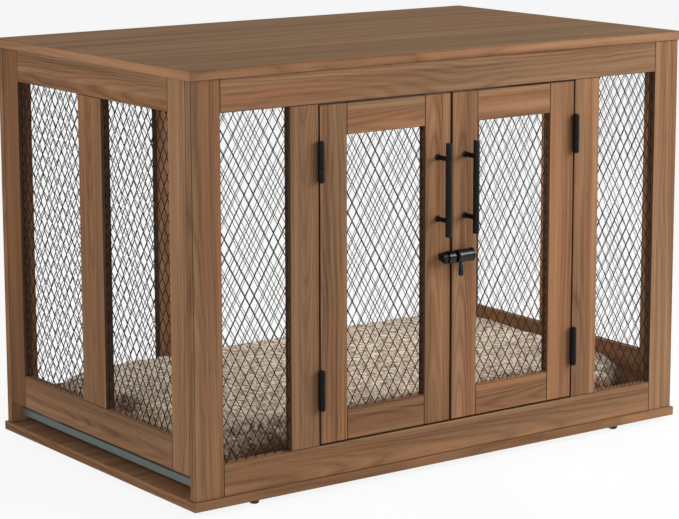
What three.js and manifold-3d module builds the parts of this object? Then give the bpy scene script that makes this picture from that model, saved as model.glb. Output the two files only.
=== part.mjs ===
// Dog crate end table: walnut-look boards, diamond mesh windows, two hinged mesh doors with
// bar pulls and a barrel bolt, a tray that slides out of the left end, a cushion and four feet.
// Millimetres, +Z up, +X to the viewer's right, the doors face -Y, feet stand on Z = 0.
import * as THREE from "three";
import { ConvexGeometry } from "three/addons/geometries/ConvexGeometry.js";
import { mergeVertices } from "three/addons/utils/BufferGeometryUtils.js";
import Module from "manifold-3d";

// ---------- driving dimensions ----------
const tableLength = 956; // top and base boards, along X
const tableDepth = 587; // top and base boards, along Y
const bodyHeight = 650; // underside of the base board to the table top
const boardThickness = 14; // top and base boards
const overhang = 4; // boards past the frames, all round
const frameThickness = 15; // every stile, rail, post and mullion
const edgeChamfer = 0.8; // broken edge on every board

const frontStileWidth = 50;
const frontRailHeight = 50;
const doorPostWidth = 52;
const doorOpeningWidth = 502;
const doorGap = 2; // hinge side, top and bottom of each door
const meetingGap = 3; // between the two doors
const doorStileWidth = 50;
const doorRailHeight = 48;

const endStileWidth = 48;
const endTopRailHeight = 51;
const endBottomRailHeight = 52;
const endMullionWidth = 70;
const traySlotHeight = 36; // open slot under the left end panel

const backStileWidth = 50;
const backMullionWidth = 45;
const backMullionOffset = 165; // centre of each back mullion from the middle

const meshThickness = 1.6;
const meshSetBack = 5.5; // outer face of the wood to the mesh
const meshHold = 6; // how far the sheet reaches into the grooves round each window
const grooveRoom = 0.3; // between the sheet and its groove, all round
const meshPitchAcross = 58; // diamond width, drawn coarser than the real 17 mm
const meshPitchUp = 110; // diamond height, drawn coarser than the real 30 mm
const meshStrand = 3;

const hingeHeight = 63;
const hingeSpread = 349; // between the middles of the upper and lower hinges
const hingeLeafThickness = 0.7;
const hingeLeafReach = 12; // leaf along the door edge, back from the front face
const knuckleRadius = 5;
const hingePinRadius = 2;
const knuckleGap = 0.4; // between knuckles, along the pin
const pinClearance = 0.3; // round the pin, and between a knuckle and the wood
const knuckleEdge = 0.5;
const knuckleSides = 20;
const pinSides = 12;
const pinEdge = 0.4;
const hingePinSetIn = 1; // pin ends inside the outer knuckles
const hingeLeafFromFace = 0.2; // leaf starts this far behind the front face
const hingeWebOverlap = 1; // how far the leaf's web runs on into the leaf

const pullLength = 146;
const pullPostSpacing = 96;
const pullBarRadius = 5;
const pullPostRadius = 4;
const pullBarSides = 24;
const pullBarEdge = 0.7;
const pullPostSides = 16;
const pullPostEdge = 0.3;
const pullStandOff = 28; // face of the door to the middle of the bar
const pullFromEdge = 25.5; // bar from the door's meeting edge
const pullAboveMiddle = 113; // bar centre above the middle of the door

const boltRadius = 4;
const boltClearance = 0.3;
const boltTravel = 10; // from withdrawn to locked
const boltEndRoom = 1.5; // beyond the locked bolt in the keeper, and behind the bolt in the barrel
const boltLength = 26;
const boltNoseFromEdge = 2; // how far the withdrawn bolt reaches over the meeting gap
const leverFromNose = 12;
const leverNeckRadius = 2.2;
const leverKnobRadius = 4.2;
const leverDrop = 33; // bolt axis to the bottom of the lever
const leverTipLength = 3;
const leverNeckRoom = 1.5; // thin neck past the barrel's cap radius
const leverSides = 18;
const latchStandOff = 10.9; // face of the door to the bolt axis
const latchAboveMiddle = 4.4;
const barrelRadius = 9.8;
const barrelCapRadius = 10.6;
const barrelLength = 33.5;
const barrelCapLength = 6;
const keeperLength = 22;
const keeperFromEdge = 3;
const keeperGroove = 2;
const keeperDomeLength = 7;
const keeperDomeCurve = 4.6; // rounded part of the dome
const keeperDomeRadius = 8.8;
const saddleHalfHeight = 6;
const saddleSetIn = 2; // saddle's ends inside the ends of the barrel and keeper
const barrelRimStep = 0.4; // front rim lower than the end cap
const latchSides = 28;
const boreSides = 20;
const boreEdge = 0.3;
const boltEdge = 1.2;
const rimEdge = 1;
const capEdge = 1.4;
const sleeveEdge = 0.8;

const trayHeight = 12;
const trayWall = 1.5;
const trayEdge = 0.5; // broken edge on the tray and its runners
const trayEndGap = 2; // behind the inner face of the end panels
const traySideGap = 6.5; // to the front and back frames
const runnerHeight = 12;
const runnerWidth = 10;
const runnerPastTray = 4; // runner's outer side past the tray's rim
const runnerSetBack = 17; // from the tray's end

const cushionHeight = 63;
const cushionGap = 5.5; // to the frames, all round
const cushionSeat = 0.3; // above the tray
const cushionDrawIn = 6; // sides pulled in between the corners
const cushionCorner = 7; // higher is squarer

const footRadius = 8;
const footHeight = 10;
const footEdge = 1;
const footSides = 20;
const footInsetX = 118;
const footInsetY = 21;

// ---------- worked-out lines ----------
const baseZ = footHeight;
const deckZ = baseZ + boardThickness; // top of the base board
const ceilingZ = baseZ + bodyHeight - boardThickness; // underside of the top board
const halfX = tableLength / 2 - overhang; // outside of the end panels
const halfY = tableDepth / 2 - overhang; // outside of the front and back frames
const innerX = halfX - frameThickness;
const innerY = halfY - frameThickness;
const openingTop = ceilingZ - frontRailHeight;
const openingBottom = deckZ + frontRailHeight;
const doorTop = openingTop - doorGap;
const doorBottom = openingBottom + doorGap;
const doorMiddle = (doorTop + doorBottom) / 2;
const doorOuter = doorOpeningWidth / 2 - doorGap; // hinge edge of the right door
const doorInner = meetingGap / 2; // meeting edge of the right door
const doorFace = -halfY; // front plane of frames and doors

// ---------- materials ----------
const finish = (color, roughness, metalness) => () =>
  new THREE.MeshStandardMaterial({ color, roughness, metalness });
const walnut = finish(0x80603f, 0.6, 0);
const blackMesh = finish(0x15171a, 0.5, 0.6);
const blackMetal = finish(0x1c1d1f, 0.45, 0.7);
const glossBlack = finish(0x0b0b0c, 0.15, 0.8);
const traySteel = finish(0x4d5752, 0.4, 0.5);
const plush = finish(0xb7a289, 0.95, 0);
const darkPlastic = finish(0x151515, 0.7, 0);

const wasm = await Module();
wasm.setup();

const model = new THREE.Group();

function addPiece(name, geometry, material) {
  const piece = new THREE.Mesh(geometry, material());
  piece.name = name;
  model.add(piece);
  return piece;
}

// ---------- shape helpers ----------
// Box between two corners with every edge broken by a flat chamfer.
function chamferedBox(low, high, chamfer = edgeChamfer) {
  const points = [];
  const half = high.map((value, axis) => (value - low[axis]) / 2);
  const centre = high.map((value, axis) => (value + low[axis]) / 2);
  for (const sx of [-1, 1]) {
    for (const sy of [-1, 1]) {
      for (const sz of [-1, 1]) {
        const sign = [sx, sy, sz];
        for (let flush = 0; flush < 3; flush += 1) {
          const reach = half.map((value, axis) => (axis === flush ? value : value - chamfer));
          points.push(new THREE.Vector3(...reach.map((value, axis) => sign[axis] * value)));
        }
      }
    }
  }
  return new ConvexGeometry(points).translate(...centre);
}

// Solid turned about +Z from pairs of radius and height, closed on the axis.
function turned(profile, sides) {
  const points = profile.map(([radius, height]) => new THREE.Vector2(radius, height));
  return new THREE.LatheGeometry(points, sides).rotateX(Math.PI / 2);
}

// Rod about +Z with a small chamfer at both ends.
function rod(radius, from, to, sides = 24, chamfer = 0.6) {
  return turned(
    [
      [0, from],
      [radius - chamfer, from],
      [radius, from + chamfer],
      [radius, to - chamfer],
      [radius - chamfer, to],
      [0, to],
    ],
    sides,
  );
}

const alongX = (geometry) => geometry.rotateY(Math.PI / 2); // +Z becomes +X
const alongY = (geometry) => geometry.rotateX(Math.PI / 2); // +Z becomes -Y
const plainBox = (low, high) =>
  new THREE.BoxGeometry(...high.map((value, axis) => value - low[axis])).translate(
    ...high.map((value, axis) => (value + low[axis]) / 2),
  );

function toSolid(geometry) {
  const bare = new THREE.BufferGeometry();
  bare.setAttribute("position", geometry.getAttribute("position"));
  if (geometry.index) bare.setIndex(geometry.index);
  const merged = mergeVertices(bare, 1e-4);
  const vertProperties = new Float32Array(merged.attributes.position.array);
  const triVerts = new Uint32Array(merged.index.array);
  return new wasm.Manifold(new wasm.Mesh({ numProp: 3, vertProperties, triVerts }));
}

function toGeometry(solid) {
  const mesh = solid.getMesh();
  const geometry = new THREE.BufferGeometry();
  geometry.setAttribute("position", new THREE.BufferAttribute(mesh.vertProperties, 3));
  geometry.setIndex(new THREE.BufferAttribute(mesh.triVerts, 1));
  return geometry;
}

function joined(geometries, cuts = []) {
  let solid = geometries.map(toSolid).reduce((sum, next) => sum.add(next));
  for (const cut of cuts) solid = solid.subtract(toSolid(cut));
  return toGeometry(solid);
}

// Walnut board from its spans along X, Y and Z, less the grooves that hold the mesh.
function addBoard(name, x, y, z, grooves = []) {
  const board = chamferedBox([x[0], y[0], z[0]], [x[1], y[1], z[1]]);
  addPiece(name, grooves.length > 0 ? joined([board], grooves) : board, walnut);
}

// ---------- diamond mesh ----------
// Gaps of one window: whole diamonds at the cell centres and inner cell corners, half diamonds
// along the edges and quarter diamonds in the corners, each drawn in by half a strand.
function diamondGaps([left, right], [bottom, top]) {
  const across = Math.max(1, Math.round((right - left) / meshPitchAcross));
  const up = Math.max(1, Math.round((top - bottom) / meshPitchUp));
  const halfW = (right - left) / across / 2;
  const halfH = (top - bottom) / up / 2;
  const side = Math.hypot(halfW, halfH);
  const gapW = halfW - ((meshStrand / 2) * side) / halfH;
  const gapH = halfH - ((meshStrand / 2) * side) / halfW;
  const gaps = [];
  for (let i = 0; i <= 2 * across; i += 1) {
    for (let j = i % 2; j <= 2 * up; j += 2) {
      const x = left + i * halfW;
      const y = bottom + j * halfH;
      const reachLeft = i > 0 ? gapW : 0;
      const reachRight = i < 2 * across ? gapW : 0;
      const reachDown = j > 0 ? gapH : 0;
      const reachUp = j < 2 * up ? gapH : 0;
      const corners = [];
      if (reachLeft > 0) corners.push([x - reachLeft, y]);
      if (reachDown > 0) corners.push([x, y - reachDown]);
      if (reachRight > 0) corners.push([x + reachRight, y]);
      if (reachUp > 0) corners.push([x, y + reachUp]);
      if (corners.length === 2) corners.push([x, y]);
      gaps.push(corners.map(([u, v]) => new THREE.Vector2(u, v)));
    }
  }
  return gaps;
}

// Flat mesh sheet in the XY plane: a diamond lattice in each window, with an edge that reaches
// into the grooves. Between two windows it is open, so that the mullion passes through it.
function meshSheet(windows, [bottom, top]) {
  const left = windows[0][0] - meshHold;
  const right = windows[windows.length - 1][1] + meshHold;
  const plate = plainBox(
    [left, bottom - meshHold, 0],
    [right, top + meshHold, meshThickness],
  );
  const shapes = windows
    .flatMap((window) => diamondGaps(window, [bottom, top]))
    .map((gap) => new THREE.Shape(gap));
  const depth = 3 * meshThickness;
  const gaps = new THREE.ExtrudeGeometry(shapes, { depth, bevelEnabled: false });
  const passages = windows.slice(1).map((window, i) =>
    plainBox(
      [windows[i][1] + meshHold, bottom - grooveRoom, -meshThickness],
      [window[0] - meshHold, top + grooveRoom, 2 * meshThickness],
    ),
  );
  return joined([plate], [gaps.translate(0, 0, -meshThickness), ...passages]);
}

// Where the mesh lies in a panel whose outer face is at a place along X or Y: inward is the
// sign of the way in. A frame lies across X for the front, back and doors, across Y for the ends.
function meshSlab(outerFace, inward) {
  const near = outerFace + inward * meshSetBack;
  return [near, near + inward * meshThickness].sort((a, b) => a - b);
}

// Groove that holds the mesh round the span of one or more windows.
function grooveRound([from, to], [bottom, top], slab, acrossY = false) {
  const reach = meshHold + grooveRoom;
  const low = [from - reach, slab[0] - grooveRoom, bottom - reach];
  const high = [to + reach, slab[1] + grooveRoom, top + reach];
  const turn = ([a, b, c]) => (acrossY ? [b, a, c] : [a, b, c]);
  return plainBox(turn(low), turn(high));
}

// Mesh of a frame that faces along Y.
function addMeshAcrossX(name, windows, heights, slab) {
  const sheet = meshSheet(windows, heights).rotateX(Math.PI / 2);
  addPiece(name, sheet.translate(0, slab[1], 0), blackMesh);
}

// Mesh of a frame that faces along X.
function addMeshAcrossY(name, windows, heights, slab) {
  const sheet = meshSheet(windows, heights).rotateX(Math.PI / 2).rotateZ(Math.PI / 2);
  addPiece(name, sheet.translate(slab[0], 0, 0), blackMesh);
}

// ---------- top, base and feet ----------
function buildBoardsAndFeet() {
  const x = [-tableLength / 2, tableLength / 2];
  const y = [-tableDepth / 2, tableDepth / 2];
  addBoard("top_board", x, y, [ceilingZ, baseZ + bodyHeight]);
  addBoard("base_board", x, y, [baseZ, deckZ]);
  const footX = tableLength / 2 - footInsetX;
  const footY = tableDepth / 2 - footInsetY;
  for (const [name, sx, sy] of [
    ["foot_front_left", -1, -1],
    ["foot_front_right", 1, -1],
    ["foot_back_left", -1, 1],
    ["foot_back_right", 1, 1],
  ]) {
    const foot = addPiece(name, rod(footRadius, 0, footHeight, footSides, footEdge), darkPlastic);
    foot.position.set(sx * footX, sy * footY, 0);
  }
}

// ---------- front frame ----------
const mirrored = (side, from, to) => [side * from, side * to].sort((a, b) => a - b);
const sides = [
  ["left", -1],
  ["right", 1],
];

function buildFrontFrame() {
  const y = [doorFace, doorFace + frameThickness];
  const slab = meshSlab(doorFace, 1);
  const heights = [openingBottom, openingTop];
  const stileInner = halfX - frontStileWidth;
  const postInner = doorOpeningWidth / 2;
  const postOuter = postInner + doorPostWidth;
  const grooves = [];
  for (const [word, side] of sides) {
    const window = mirrored(side, postOuter, stileInner);
    const groove = grooveRound(window, heights, slab);
    grooves.push(groove);
    const stile = mirrored(side, stileInner, halfX);
    addBoard(`front_${word}_stile`, stile, y, [deckZ, ceilingZ], [groove]);
    addBoard(`${word}_door_post`, mirrored(side, postInner, postOuter), y, heights, [groove]);
    addMeshAcrossX(`front_${word}_mesh`, [window], heights, slab);
  }
  addBoard("front_top_rail", [-stileInner, stileInner], y, [openingTop, ceilingZ], grooves);
  addBoard("front_bottom_rail", [-stileInner, stileInner], y, [deckZ, openingBottom], grooves);
}

// ---------- end panels ----------
function buildEndPanel(word, side, footOfPanel) {
  const x = mirrored(side, innerX, halfX);
  const slab = meshSlab(side * halfX, -side);
  const stileInner = innerY - endStileWidth;
  const windowTop = ceilingZ - endTopRailHeight;
  const windowBottom = deckZ + traySlotHeight + endBottomRailHeight;
  const heights = [windowBottom, windowTop];
  const panel = [footOfPanel, ceilingZ];
  const halfMullion = endMullionWidth / 2;
  const windows = [
    [-stileInner, -halfMullion],
    [halfMullion, stileInner],
  ];
  const groove = grooveRound([-stileInner, stileInner], heights, slab, true);
  const mullionGrooves = windows.map((window) => grooveRound(window, heights, slab, true));
  const between = [-stileInner, stileInner];
  addBoard(`${word}_end_front_stile`, x, [-innerY, -stileInner], panel, [groove]);
  addBoard(`${word}_end_rear_stile`, x, [stileInner, innerY], panel, [groove]);
  addBoard(`${word}_end_top_rail`, x, between, [windowTop, ceilingZ], [groove]);
  addBoard(`${word}_end_bottom_rail`, x, between, [footOfPanel, windowBottom], [groove]);
  addBoard(`${word}_end_mullion`, x, [-halfMullion, halfMullion], heights, mullionGrooves);
  addMeshAcrossY(`${word}_end_mesh`, windows, heights, slab);
}

// ---------- back frame ----------
function buildBackFrame() {
  const y = [innerY, halfY];
  const slab = meshSlab(halfY, -1);
  const heights = [openingBottom, openingTop];
  const stileInner = halfX - backStileWidth;
  const mullionInner = backMullionOffset - backMullionWidth / 2;
  const mullionOuter = backMullionOffset + backMullionWidth / 2;
  const windows = [
    [-stileInner, -mullionOuter],
    [-mullionInner, mullionInner],
    [mullionOuter, stileInner],
  ];
  const between = [-stileInner, stileInner];
  const groove = grooveRound(between, heights, slab);
  const mullionGrooves = windows.map((window) => grooveRound(window, heights, slab));
  for (const [word, side] of sides) {
    const stile = mirrored(side, stileInner, halfX);
    const mullion = mirrored(side, mullionInner, mullionOuter);
    addBoard(`back_${word}_stile`, stile, y, [deckZ, ceilingZ], [groove]);
    addBoard(`back_${word}_mullion`, mullion, y, heights, mullionGrooves);
  }
  addBoard("back_top_rail", between, y, [openingTop, ceilingZ], [groove]);
  addBoard("back_bottom_rail", between, y, [deckZ, openingBottom], [groove]);
  addMeshAcrossX("back_mesh", windows, heights, slab);
}

// ---------- doors ----------
function buildDoor(word, side) {
  const y = [doorFace, doorFace + frameThickness];
  const slab = meshSlab(doorFace, 1);
  const windowInner = doorInner + doorStileWidth;
  const windowOuter = doorOuter - doorStileWidth;
  const windowTop = doorTop - doorRailHeight;
  const windowBottom = doorBottom + doorRailHeight;
  const heights = [windowBottom, windowTop];
  const panel = [doorBottom, doorTop];
  const window = mirrored(side, windowInner, windowOuter);
  const groove = [grooveRound(window, heights, slab)];
  const hingeStile = mirrored(side, windowOuter, doorOuter);
  const meetingStile = mirrored(side, doorInner, windowInner);
  addBoard(`${word}_door_hinge_stile`, hingeStile, y, panel, groove);
  addBoard(`${word}_door_meeting_stile`, meetingStile, y, panel, groove);
  addBoard(`${word}_door_top_rail`, window, y, [windowTop, doorTop], groove);
  addBoard(`${word}_door_bottom_rail`, window, y, [doorBottom, windowBottom], groove);
  addMeshAcrossX(`${word}_door_mesh`, [window], heights, slab);
}

// ---------- hinges ----------
// Butt hinge drawn for the right door, pin on the Z axis: the leaves lie in the gap between
// the door edge and the post, the knuckles stand proud of the front face.
function hingeGeometries() {
  const third = hingeHeight / 3;
  const half = hingeHeight / 2;
  const toFace = knuckleRadius + pinClearance;
  const leafInner = doorGap / 2 - hingeLeafThickness;
  const leafOuter = doorGap / 2;
  const plate = (side, low, high, from, to) =>
    plainBox(
      [side < 0 ? -leafOuter : leafInner, from, low],
      [side < 0 ? -leafInner : leafOuter, to, high],
    );
  const knuckle = (low, high) => rod(knuckleRadius, low, high, knuckleSides, knuckleEdge);
  const pin = (radius, end) => rod(radius, -end, end, pinSides, pinEdge);
  const plateFront = toFace + hingeLeafFromFace;
  const plateBack = toFace + hingeLeafReach;
  const webBack = plateFront + hingeWebOverlap;
  const outerKnuckle = third / 2 + knuckleGap;
  const frameLeaf = joined([
    plate(1, -half, half, plateFront, plateBack),
    plate(1, outerKnuckle, half, 0, webBack),
    plate(1, -half, -outerKnuckle, 0, webBack),
    knuckle(outerKnuckle, half),
    knuckle(-half, -outerKnuckle),
    pin(hingePinRadius, half - hingePinSetIn),
  ]);
  const doorLeaf = joined(
    [
      plate(-1, -half, half, plateFront, plateBack),
      plate(-1, -third / 2, third / 2, 0, webBack),
      knuckle(-third / 2, third / 2),
    ],
    [pin(hingePinRadius + pinClearance, half)],
  );
  return { frameLeaf, doorLeaf };
}

function buildHinges() {
  const { frameLeaf, doorLeaf } = hingeGeometries();
  const pinX = doorOpeningWidth / 2 - doorGap / 2;
  const pinY = doorFace - knuckleRadius - pinClearance;
  for (const [word, side] of sides) {
    for (const [level, lift] of [
      ["upper", hingeSpread / 2],
      ["lower", -hingeSpread / 2],
    ]) {
      for (const [leaf, geometry] of [
        ["frame_leaf", frameLeaf],
        ["door_leaf", doorLeaf],
      ]) {
        const piece = addPiece(`${word}_${level}_hinge_${leaf}`, geometry, blackMetal);
        piece.position.set(side * pinX, pinY, doorMiddle + lift);
        piece.scale.x = side;
      }
    }
  }
}

// ---------- bar pulls ----------
function buildPull(word, side) {
  const halfSpacing = pullPostSpacing / 2;
  const post = (height) =>
    alongY(rod(pullPostRadius, 0, pullStandOff, pullPostSides, pullPostEdge)).translate(0, 0, height);
  const bar = rod(pullBarRadius, -pullLength / 2, pullLength / 2, pullBarSides, pullBarEdge);
  const geometry = joined([
    bar.translate(0, -pullStandOff, 0),
    post(halfSpacing),
    post(-halfSpacing),
  ]);
  const pull = addPiece(`${word}_door_pull`, geometry, blackMetal);
  pull.position.set(side * (doorInner + pullFromEdge), doorFace, doorMiddle + pullAboveMiddle);
}

// ---------- barrel bolt ----------
// All three pieces are drawn about the bolt axis, along X, with the meeting gap at X = 0.
function buildLatch() {
  const place = (piece) =>
    piece.position.set(0, doorFace - latchStandOff, doorMiddle + latchAboveMiddle);
  const bore = boltRadius + boltClearance;
  const saddle = (from, to) =>
    plainBox(
      [from + saddleSetIn, 0, -saddleHalfHeight],
      [to - saddleSetIn, latchStandOff, saddleHalfHeight],
    );
  const tube = (radius, from, to, edge) => alongX(rod(radius, from, to, latchSides, edge));
  const hole = (from, to) => alongX(rod(bore, from, to, boreSides, boreEdge));

  const barrelStart = doorInner;
  const barrelEnd = doorInner + barrelLength;
  const capStart = barrelEnd - barrelCapLength;
  const nose = doorInner - boltNoseFromEdge;
  const leverX = nose + leverFromNose;
  const neckRoom = leverNeckRadius + boltClearance;
  const barrel = joined(
    [
      tube(barrelCapRadius - barrelRimStep, barrelStart, barrelStart + barrelCapLength, rimEdge),
      tube(barrelRadius, barrelStart, barrelEnd, sleeveEdge),
      tube(barrelCapRadius, capStart, barrelEnd, capEdge),
      saddle(barrelStart, barrelEnd),
    ],
    [
      hole(-barrelLength, nose + boltLength + boltEndRoom),
      plainBox(
        [-barrelLength, -neckRoom, -2 * barrelRadius],
        [leverX + neckRoom, neckRoom, 0],
      ),
    ],
  );
  place(addPiece("latch_barrel", barrel, glossBlack));

  // Lever: a round tip, a shank that swells towards it, and a thin neck through the slot.
  const neckEnd = -barrelCapRadius - leverNeckRoom;
  const lever = turned(
    [
      [0, -leverDrop],
      [leverKnobRadius * 0.6, -leverDrop + leverTipLength / 6],
      [leverKnobRadius, -leverDrop + leverTipLength],
      [leverKnobRadius * 0.85, neckEnd - leverNeckRadius],
      [leverNeckRadius, neckEnd],
      [leverNeckRadius, 0],
      [0, 0],
    ],
    leverSides,
  );
  const bolt = joined([
    alongX(rod(boltRadius, nose, nose + boltLength, boreSides, boltEdge)),
    lever.translate(leverX, 0, 0),
  ]);
  place(addPiece("latch_bolt", bolt, glossBlack));

  const keeperRight = -doorInner - keeperFromEdge;
  const keeperLeft = keeperRight - keeperLength;
  const domeEnd = keeperLeft + keeperDomeLength;
  const sleeveStart = domeEnd + keeperGroove;
  // Dome: a quarter of an ellipse from the closed end out to the full radius.
  const domeSteps = 4;
  const domeProfile = [[0, keeperLeft]];
  for (let step = 1; step <= domeSteps; step += 1) {
    const turn = ((Math.PI / 2) * step) / domeSteps;
    const along = keeperDomeCurve * (1 - Math.cos(turn));
    domeProfile.push([keeperDomeRadius * Math.sin(turn), keeperLeft + along]);
  }
  domeProfile.push([keeperDomeRadius - sleeveEdge, domeEnd], [0, domeEnd]);
  const grooveFloor = keeperDomeRadius - keeperGroove;
  const keeper = joined(
    [
      alongX(turned(domeProfile, latchSides)),
      tube(grooveFloor, domeEnd - keeperGroove, sleeveStart + keeperGroove, boreEdge),
      tube(barrelRadius, sleeveStart, keeperRight, sleeveEdge),
      saddle(keeperLeft, keeperRight),
    ],
    [hole(nose - boltTravel - boltEndRoom, -keeperRight)],
  );
  place(addPiece("latch_keeper", keeper, glossBlack));
}

// ---------- tray and runners ----------
// A shallow sheet tray lying rim down: its flat face carries the cushion, its rim the runners.
function buildTray() {
  const x = innerX - trayEndGap;
  const y = innerY - traySideGap;
  const low = deckZ + runnerHeight;
  const high = low + trayHeight;
  const hollow = [x - trayWall, y - trayWall, high - trayWall];
  const tray = joined(
    [chamferedBox([-x, -y, low], [x, y, high], trayEdge)],
    [plainBox([-hollow[0], -hollow[1], low - 1], hollow)],
  );
  addPiece("tray", tray, traySteel);
  const outer = y + runnerPastTray;
  const inner = outer - runnerWidth;
  const reach = [-x + runnerSetBack, x - runnerSetBack];
  const level = [deckZ, low];
  for (const [name, side] of [
    ["front_tray_runner", -1],
    ["back_tray_runner", 1],
  ]) {
    const across = mirrored(side, inner, outer);
    const start = [reach[0], across[0], level[0]];
    const end = [reach[1], across[1], level[1]];
    addPiece(name, chamferedBox(start, end, trayEdge), darkPlastic);
  }
  return high;
}

// ---------- cushion ----------
// Rings of a rounded rectangle, from the middle of the underside out and over to the crown.
// Each ring has an inset from the widest outline and a share of the cushion's height.
const cushionRings = [
  [150, 0],
  [60, 0],
  [14, 0],
  [5, 0.05],
  [0, 0.22],
  [0, 0.45],
  [3, 0.66],
  [11, 0.81],
  [26, 0.89],
  [60, 0.94],
  [130, 0.985],
];

function cushionOutline(angle, inset) {
  const c = Math.cos(angle);
  const s = Math.sin(angle);
  const halfLength = innerX - cushionGap - inset;
  const halfWidth = innerY - cushionGap - inset;
  const round = (value) => Math.sign(value) * Math.abs(value) ** (2 / cushionCorner);
  const x = halfLength * round(c);
  const y = halfWidth * round(s);
  const drawX = cushionDrawIn * Math.cos((Math.PI / 2) * (y / halfWidth)) * Math.sign(x);
  const drawY = cushionDrawIn * Math.cos((Math.PI / 2) * (x / halfLength)) * Math.sign(y);
  const share = Math.max(Math.abs(x) / halfLength, Math.abs(y) / halfWidth);
  const onEnd = Math.abs(x) / halfLength >= share - 1e-9;
  return onEnd ? [x - drawX, y] : [x, y - drawY];
}

function buildCushion(seat) {
  const steps = 48;
  const positions = [0, 0, seat];
  for (const [inset, share] of cushionRings) {
    for (let k = 0; k < steps; k += 1) {
      const [x, y] = cushionOutline((2 * Math.PI * (k + 0.5)) / steps, inset);
      positions.push(x, y, seat + share * cushionHeight);
    }
  }
  positions.push(0, 0, seat + cushionHeight);
  const crown = positions.length / 3 - 1;
  const index = [];
  const at = (ring, k) => 1 + ring * steps + (k % steps);
  for (let k = 0; k < steps; k += 1) {
    index.push(0, at(0, k + 1), at(0, k));
    for (let ring = 0; ring + 1 < cushionRings.length; ring += 1) {
      index.push(at(ring, k), at(ring, k + 1), at(ring + 1, k + 1));
      index.push(at(ring, k), at(ring + 1, k + 1), at(ring + 1, k));
    }
    index.push(crown, at(cushionRings.length - 1, k), at(cushionRings.length - 1, k + 1));
  }
  const geometry = new THREE.BufferGeometry();
  geometry.setAttribute("position", new THREE.Float32BufferAttribute(positions, 3));
  geometry.setIndex(index);
  addPiece("cushion", geometry, plush);
}

// ---------- assembly ----------
buildBoardsAndFeet();
buildFrontFrame();
buildEndPanel("left", -1, deckZ + traySlotHeight);
buildEndPanel("right", 1, deckZ);
buildBackFrame();
buildDoor("left", -1);
buildDoor("right", 1);
buildHinges();
buildPull("left", -1);
buildPull("right", 1);
buildLatch();
const trayTop = buildTray();
buildCushion(trayTop + cushionSeat);

// The pulls reach past the base board, so the model moves back until its box is centred.
const pullReach = pullStandOff + pullBarRadius - overhang;
model.position.y = pullReach / 2;

export default model;
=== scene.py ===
# Dog crate end table: the finishes, diamond mesh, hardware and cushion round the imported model.
import math

import bmesh
import bpy
import numpy as np
from mathutils import Matrix, Vector


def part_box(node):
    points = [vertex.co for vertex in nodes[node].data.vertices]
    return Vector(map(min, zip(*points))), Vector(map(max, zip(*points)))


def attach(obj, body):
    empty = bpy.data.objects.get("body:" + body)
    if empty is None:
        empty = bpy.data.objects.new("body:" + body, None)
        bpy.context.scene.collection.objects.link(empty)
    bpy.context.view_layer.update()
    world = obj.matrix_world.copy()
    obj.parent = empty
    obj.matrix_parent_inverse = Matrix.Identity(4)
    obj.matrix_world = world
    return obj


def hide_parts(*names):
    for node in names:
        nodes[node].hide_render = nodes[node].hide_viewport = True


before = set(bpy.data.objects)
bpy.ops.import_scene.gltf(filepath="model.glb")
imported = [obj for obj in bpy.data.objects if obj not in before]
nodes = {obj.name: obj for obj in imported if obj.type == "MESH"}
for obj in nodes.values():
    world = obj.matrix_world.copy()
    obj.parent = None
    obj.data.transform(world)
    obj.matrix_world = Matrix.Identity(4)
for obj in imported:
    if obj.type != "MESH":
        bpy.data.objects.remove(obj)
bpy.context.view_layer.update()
print("model loaded:", len(nodes), "nodes")


# camera: where the photograph was taken from, in metres, degrees and pixels of its 679 wide frame
camera = {
    "place": (-2.2976, -3.1719, 1.0614),
    "yaw": 35.734,
    "pitch": 10.193,
    "roll": -0.144,
    "focal": 2419.75,
    "frameWidth": 679,
    "shift": -0.06,
}


def makeCamera():
    yaw, pitch, roll = (math.radians(camera[k]) for k in ("yaw", "pitch", "roll"))
    ahead = Vector((math.sin(yaw) * math.cos(pitch), math.cos(yaw) * math.cos(pitch), -math.sin(pitch)))
    level = Vector((math.cos(yaw), -math.sin(yaw), 0))
    above = level.cross(ahead)
    right = level * math.cos(roll) + above * math.sin(roll)
    up = right.cross(ahead)
    data = bpy.data.cameras.new("camera")
    data.sensor_width = 36
    data.lens = camera["focal"] / camera["frameWidth"] * data.sensor_width
    data.shift_y = camera["shift"]
    made = bpy.data.objects.new("camera", data)
    turn = Matrix((right, up, -ahead)).transposed()
    made.matrix_world = Matrix.Translation(camera["place"]) @ turn.to_4x4()
    bpy.context.scene.collection.objects.link(made)
    bpy.context.scene.camera = made


makeCamera()
print("camera placed")


# ---- materials: a value in a node tree, the tree it belongs to, and a material's own tree
class Wire:
    def __init__(self, tree, socket):
        self.tree = tree
        self.socket = socket

    def math(self, operation, *others):
        inputs = dict(enumerate((self, *others)))
        return self.tree.node("ShaderNodeMath", {"operation": operation}, inputs)[0]

    def __add__(self, other):
        return self.math("ADD", other)

    def __sub__(self, other):
        return self.math("SUBTRACT", other)

    def __mul__(self, other):
        return self.math("MULTIPLY", other)

    def __rsub__(self, other):
        return (self * -1) + other

    __radd__ = __add__
    __rmul__ = __mul__

    def within(self, low, high):  # 0 below low, 1 above high, smooth between
        settings = {"interpolation_type": "SMOOTHSTEP"}
        inputs = {"Value": self, "From Min": low, "From Max": high}
        return self.tree.node("ShaderNodeMapRange", settings, inputs)[0]


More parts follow.
